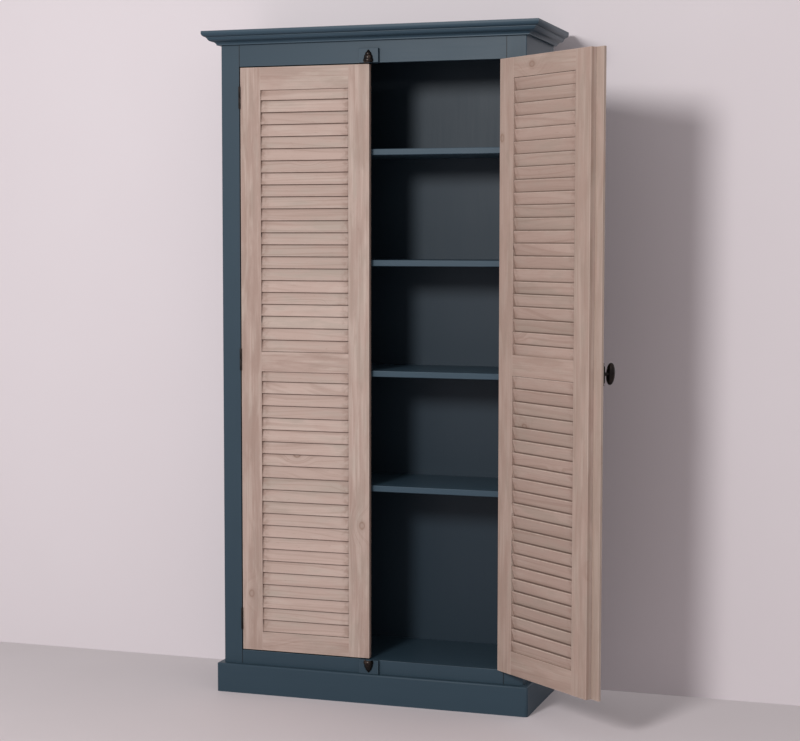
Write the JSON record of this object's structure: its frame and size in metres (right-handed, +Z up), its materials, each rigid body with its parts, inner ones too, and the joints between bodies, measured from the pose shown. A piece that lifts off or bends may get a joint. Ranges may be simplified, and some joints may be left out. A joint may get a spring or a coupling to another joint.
{
  "type": "louvred door cabinet",
  "caption": "Tall painted cupboard with cornice, plinth and shelves, closed by louvred pine doors; an oval knob works a surface bolt up and down.",
  "frame": {"origin": "on the floor under the middle of the front plinth board", "axes": "+Z up, +Y from the doors to the back, +X to the right as seen from the front"},
  "size_m": [1.3753, 0.6469, 2.123],
  "materials": {
    "painted_wood": "satin blue-grey paint",
    "pine": "brushed pine with a grey-brown wash",
    "black_iron": "blackened and waxed",
    "steel": "plain turned steel"
  },
  "bodies": {
    "cabinet": {"left_side_panel": "painted_wood", "right_side_panel": "painted_wood", "floor_board": "painted_wood", "top_board": "painted_wood", "back_panel": "painted_wood", "left_frame_stile": "painted_wood", "right_frame_stile": "painted_wood", "top_frame_rail": "painted_wood", "bottom_frame_rail": "painted_wood", "cornice_front": "painted_wood", "cornice_left": "painted_wood", "cornice_right": "painted_wood", "plinth_front": "painted_wood", "plinth_left": "painted_wood", "plinth_right": "painted_wood", "shelf_battens": "painted_wood", "shelf_1": "painted_wood", "shelf_2": "painted_wood", "shelf_3": "painted_wood", "shelf_4": "painted_wood", "top_keeper_block": "painted_wood", "bottom_keeper_block": "painted_wood", "keepers": "black_iron", "bolt_strike": "black_iron", "left_frame_leaves": "black_iron", "right_frame_leaves": "black_iron", "left_hinge_pins": "black_iron", "right_hinge_pins": "black_iron"},
    "left_door": {"left_hinge_stile": "pine", "left_meeting_stile": "pine", "left_top_rail": "pine", "left_mid_rail": "pine", "left_bottom_rail": "pine", "left_upper_slats": "pine", "left_lower_slats": "pine", "left_door_leaves": "black_iron", "bolt_plate": "black_iron"},
    "right_door": {"right_hinge_stile": "pine", "right_meeting_stile": "pine", "right_top_rail": "pine", "right_mid_rail": "pine", "right_bottom_rail": "pine", "right_upper_slats": "pine", "right_lower_slats": "pine", "meeting_strip": "pine", "right_door_leaves": "black_iron", "case_plate": "black_iron", "bolt_case": "black_iron", "rod_guides": "black_iron"},
    "knob": {"knob": "black_iron", "pinion": "steel"},
    "upper_rod": {"upper_rod": "black_iron"},
    "lower_rod": {"lower_rod": "black_iron"},
    "left_bolt": {"inside_bolt": "steel"}
  },
  "joints": [
    {"name": "left_door_hinge", "type": "hinge", "parent": "cabinet", "child": "left_door", "pos_m": [-0.43675, 0.0065, 0], "axis": [0, 0, -1], "range_deg": [0, 170]},
    {"name": "right_door_hinge", "type": "hinge", "parent": "cabinet", "child": "right_door", "pos_m": [0.43675, 0.0065, 0], "axis": [0, 0, 1], "range_deg": [-141.25, 30]},
    {"name": "knob_turn", "type": "hinge", "parent": "right_door", "child": "knob", "pos_m": [0.81273, -0.22281, 1.0825], "axis": [-0.6259, -0.7799, 0], "range_deg": [0, 90]},
    {"name": "upper_rod_slide", "type": "slide", "parent": "right_door", "child": "upper_rod", "axis": [0, 0, 1], "range_m": [0, 0.01178]},
    {"name": "lower_rod_slide", "type": "slide", "parent": "right_door", "child": "lower_rod", "axis": [0, 0, -1], "range_m": [0, 0.01178]},
    {"name": "left_bolt_slide", "type": "slide", "parent": "left_door", "child": "left_bolt", "axis": [0, 0, 1], "range_m": [0, 0.014]}
  ],
  "couplings": [
    {"joint": "knob_turn", "follows": "upper_rod_slide", "rad_per_m": 133.33},
    {"joint": "lower_rod_slide", "follows": "upper_rod_slide", "ratio": 1}
  ]
}
